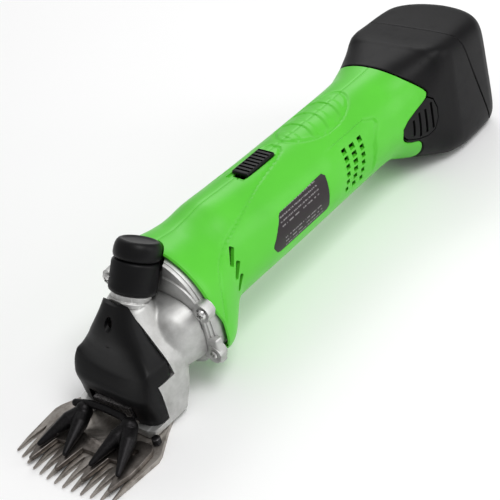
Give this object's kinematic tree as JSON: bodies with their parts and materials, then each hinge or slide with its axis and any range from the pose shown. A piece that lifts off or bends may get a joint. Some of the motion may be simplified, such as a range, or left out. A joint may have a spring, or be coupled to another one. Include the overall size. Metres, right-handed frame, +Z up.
{
  "type": "cordless sheep shears",
  "caption": "Hand-held cordless sheep shears: toothed comb and swinging cutter on a cast head, tension knob, round ribbed handle and slide-off battery pack.",
  "frame": {"origin": "centre of the bounding box in plan, at the plane that the comb and the battery rest on", "axes": "+X along the handle from the comb towards the battery, +Z up on the tension knob side, +Y to the right, seen from the battery end looking towards the comb"},
  "size_m": [0.3976, 0.082, 0.0979],
  "materials": {
    "green_shell": "satin moulded",
    "black_plastic": "satin moulded",
    "dark_plastic": "fine-textured",
    "cast_aluminium": "bead-blasted casting",
    "bright_steel": "ground and polished",
    "tool_steel": "ground, lightly oiled",
    "brass": "machined",
    "wound_copper": "laminated core with enamelled wire",
    "carbon": "pressed carbon",
    "ferrite": "sintered",
    "cell_sleeve": "shrink sleeve",
    "label_film": "printed film"
  },
  "bodies": {
    "body": {"comb": "tool_steel", "head_casting": "cast_aluminium", "head_hood": "black_plastic", "fulcrum_post": "bright_steel", "comb_screw_left": "tool_steel", "comb_screw_right": "tool_steel", "gear_case_flange": "cast_aluminium", "flange_screw_left_upper": "bright_steel", "flange_screw_left_lower": "bright_steel", "flange_screw_right_upper": "bright_steel", "flange_screw_right_lower": "bright_steel", "crank_bearing_front": "bright_steel", "crank_bearing_rear": "bright_steel", "bearing_plate": "cast_aluminium", "motor_can": "bright_steel", "motor_end_cap": "black_plastic", "motor_magnet_left": "ferrite", "motor_magnet_right": "ferrite", "motor_brush_left": "carbon", "motor_brush_right": "carbon", "housing_left": "green_shell", "housing_right": "green_shell", "housing_screw_1": "bright_steel", "housing_screw_2": "bright_steel", "housing_screw_3": "bright_steel", "housing_screw_4": "bright_steel", "nameplate": "label_film", "switch_body": "black_plastic", "terminal_block": "black_plastic", "terminal_blade_left": "brass", "terminal_blade_right": "brass", "tension_screw": "bright_steel"},
    "cutter_arm": {"fork_lever": "tool_steel", "yoke_left": "tool_steel", "yoke_right": "tool_steel", "cutter": "tool_steel"},
    "crank": {"crank_shaft": "bright_steel", "crank_roller": "bright_steel", "drive_gear": "tool_steel"},
    "rotor": {"motor_shaft": "bright_steel", "armature": "wound_copper", "commutator": "wound_copper", "motor_pinion": "brass", "cooling_fan": "black_plastic"},
    "tension_rod": {"tension_pin": "bright_steel", "tension_spring": "bright_steel"},
    "knob": {"tension_knob": "black_plastic", "knob_cap": "black_plastic"},
    "switch": {"switch_slider": "black_plastic"},
    "battery": {"battery_case": "dark_plastic", "battery_rear_cap": "dark_plastic", "battery_cell_1": "cell_sleeve", "battery_cell_2": "cell_sleeve", "battery_cell_3": "cell_sleeve", "battery_cell_4": "cell_sleeve", "battery_cell_5": "cell_sleeve"},
    "button_left": {"release_button_left": "black_plastic"},
    "button_right": {"release_button_right": "black_plastic"}
  },
  "joints": [
    {"name": "cutter_swing", "type": "hinge", "parent": "body", "child": "cutter_arm", "pos_m": [-0.1263, 0, 0.005], "axis": [0, 0, 1], "range_deg": [-13, 2]},
    {"name": "motor_spin", "type": "hinge", "parent": "body", "child": "rotor", "pos_m": [-0.0563, 0, 0.051], "axis": [1, 0, 0], "continuous": true},
    {"name": "crank_spin", "type": "hinge", "parent": "body", "child": "crank", "pos_m": [-0.0883, 0, 0.03], "axis": [1, 0, 0], "continuous": true},
    {"name": "tension_slide", "type": "slide", "parent": "body", "child": "tension_rod", "axis": [0.5299, 0, 0.848], "range_m": [0, 0.0025]},
    {"name": "knob_turn", "type": "hinge", "parent": "tension_rod", "child": "knob", "pos_m": [-0.1121, 0, 0.0673], "axis": [0.5299, 0, 0.848], "range_deg": [0, 720]},
    {"name": "switch_slide", "type": "slide", "parent": "body", "child": "switch", "axis": [1, 0, 0], "range_m": [-0.005, 0]},
    {"name": "battery_slide", "type": "slide", "parent": "body", "child": "battery", "axis": [1, 0, 0], "range_m": [0, 0.06]},
    {"name": "button_press_left", "type": "slide", "parent": "battery", "child": "button_left", "axis": [0, 1, 0], "range_m": [0, 0.0025], "stiffness_N_per_m": 400},
    {"name": "button_press_right", "type": "slide", "parent": "battery", "child": "button_right", "axis": [0, -1, 0], "range_m": [0, 0.0025], "stiffness_N_per_m": 400}
  ],
  "couplings": [
    {"joint": "crank_spin", "follows": "motor_spin", "ratio": -0.35484},
    {"joint": "tension_slide", "follows": "knob_turn", "m_per_rad": 0.0001989}
  ]
}
